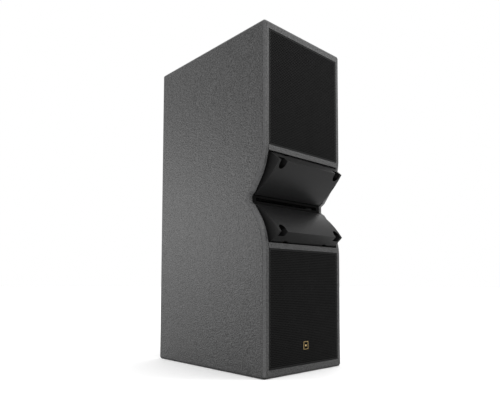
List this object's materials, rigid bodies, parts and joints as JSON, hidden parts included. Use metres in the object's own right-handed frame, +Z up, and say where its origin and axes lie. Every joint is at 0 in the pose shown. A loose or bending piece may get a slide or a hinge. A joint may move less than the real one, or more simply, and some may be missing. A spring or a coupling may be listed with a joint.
{
  "type": "line array speaker",
  "caption": "Tall wedge-shaped line array loudspeaker standing on end, with a V-shaped horn and hinged directivity fins between flat perforated grilles.",
  "frame": {"origin": "middle of the footprint on the floor, at the centre of the bounding box in plan", "axes": "+Z up along the cabinet's long side, the front with its grilles and fins faces -Y, +X is to the right seen from the front"},
  "size_m": [0.3492, 0.5674, 1.01],
  "materials": {
    "cabinet_paint": "fine-textured dark grey paint on plywood, satin",
    "bare_plywood": "plywood stained black",
    "grille_steel": "black powder coat, matte",
    "acoustic_foam": "open-cell foam",
    "badge_metal": "satin gold-toned metal",
    "fin_plastic": "fine moulded grain",
    "horn_plastic": "moulded",
    "throat_plastic": "fine moulded grain, matte",
    "port_tube": "moulded tube",
    "zinc_steel": "zinc plated",
    "black_steel": "black oxide and powder coat",
    "soft_rubber": "matte",
    "ferrite": "ground ferrite and steel",
    "cast_aluminium": "black paint on casting",
    "titanium_foil": "thin formed metal",
    "cone_paper": "treated fibre cone",
    "spider_cloth": "resin-stiffened cloth",
    "socket_plastic": "moulded",
    "contact_brass": "plated",
    "circuit_board": "solder mask",
    "copper_winding": "enamelled copper winding",
    "capacitor_film": "film-wrapped",
    "cable_jacket": "cable jacket"
  },
  "bodies": {
    "cabinet": {"side_panel_left": "cabinet_paint", "side_panel_right": "cabinet_paint", "top_panel": "cabinet_paint", "bottom_panel": "cabinet_paint", "rear_panel": "cabinet_paint", "upper_shelf": "cabinet_paint", "lower_shelf": "cabinet_paint", "upper_baffle": "bare_plywood", "lower_baffle": "bare_plywood", "upper_v_baffle": "bare_plywood", "lower_v_baffle": "bare_plywood", "upper_grille": "grille_steel", "lower_grille": "grille_steel", "upper_grille_foam": "acoustic_foam", "lower_grille_foam": "acoustic_foam", "upper_lining": "acoustic_foam", "lower_lining": "acoustic_foam", "badge": "badge_metal", "throat_frame": "throat_plastic", "waveguide": "horn_plastic", "driver_phase_plug": "horn_plastic", "upper_reflex_ports": "port_tube", "lower_reflex_ports": "port_tube", "rigging_inserts": "zinc_steel", "driver_bolts": "zinc_steel", "upper_woofer_bolts": "zinc_steel", "lower_woofer_bolts": "zinc_steel", "connector_screws": "zinc_steel", "driver_front_plate": "zinc_steel", "driver_top_plate": "zinc_steel", "fin_hinge_pins": "black_steel", "connector_plate": "black_steel", "waveguide_gasket": "soft_rubber", "connector_gasket": "soft_rubber", "upper_woofer_surround": "soft_rubber", "lower_woofer_surround": "soft_rubber", "driver_magnet": "ferrite", "upper_woofer_motor": "ferrite", "lower_woofer_motor": "ferrite", "upper_woofer_basket": "cast_aluminium", "lower_woofer_basket": "cast_aluminium", "driver_rear_cover": "cast_aluminium", "driver_suspension": "titanium_foil", "upper_woofer_spider": "spider_cloth", "lower_woofer_spider": "spider_cloth", "input_socket": "socket_plastic", "link_socket": "socket_plastic", "socket_contacts": "contact_brass", "crossover_board": "circuit_board", "crossover_coils": "copper_winding", "crossover_capacitors": "capacitor_film", "crossover_spacers": "capacitor_film", "internal_wiring": "cable_jacket"},
    "upper_fin_body": {"upper_fin": "fin_plastic", "upper_fin_lock_screws": "black_steel"},
    "lower_fin_body": {"lower_fin": "fin_plastic", "lower_fin_lock_screws": "black_steel"},
    "upper_cone_body": {"upper_woofer_cone": "cone_paper"},
    "lower_cone_body": {"lower_woofer_cone": "cone_paper"},
    "diaphragm_body": {"driver_diaphragm": "titanium_foil"}
  },
  "joints": [
    {"name": "upper_fin_hinge", "type": "hinge", "parent": "cabinet", "child": "upper_fin_body", "pos_m": [0, -0.18725, 0.5235], "axis": [1, 0, 0], "range_deg": [0, 15]},
    {"name": "lower_fin_hinge", "type": "hinge", "parent": "cabinet", "child": "lower_fin_body", "pos_m": [0, -0.18725, 0.4865], "axis": [-1, 0, 0], "range_deg": [0, 15]},
    {"name": "upper_woofer_stroke", "type": "slide", "parent": "cabinet", "child": "upper_cone_body", "axis": [0, -1, 0], "range_m": [-0.008, 0.008], "stiffness_N_per_m": 3000, "deforming": ["upper_woofer_surround", "upper_woofer_spider"]},
    {"name": "lower_woofer_stroke", "type": "slide", "parent": "cabinet", "child": "lower_cone_body", "axis": [0, -1, 0], "range_m": [-0.008, 0.008], "stiffness_N_per_m": 3000, "deforming": ["lower_woofer_surround", "lower_woofer_spider"]},
    {"name": "driver_stroke", "type": "slide", "parent": "cabinet", "child": "diaphragm_body", "axis": [0, -1, 0], "range_m": [-0.0005, 0.0005], "stiffness_N_per_m": 20000, "deforming": ["driver_suspension"]}
  ]
}
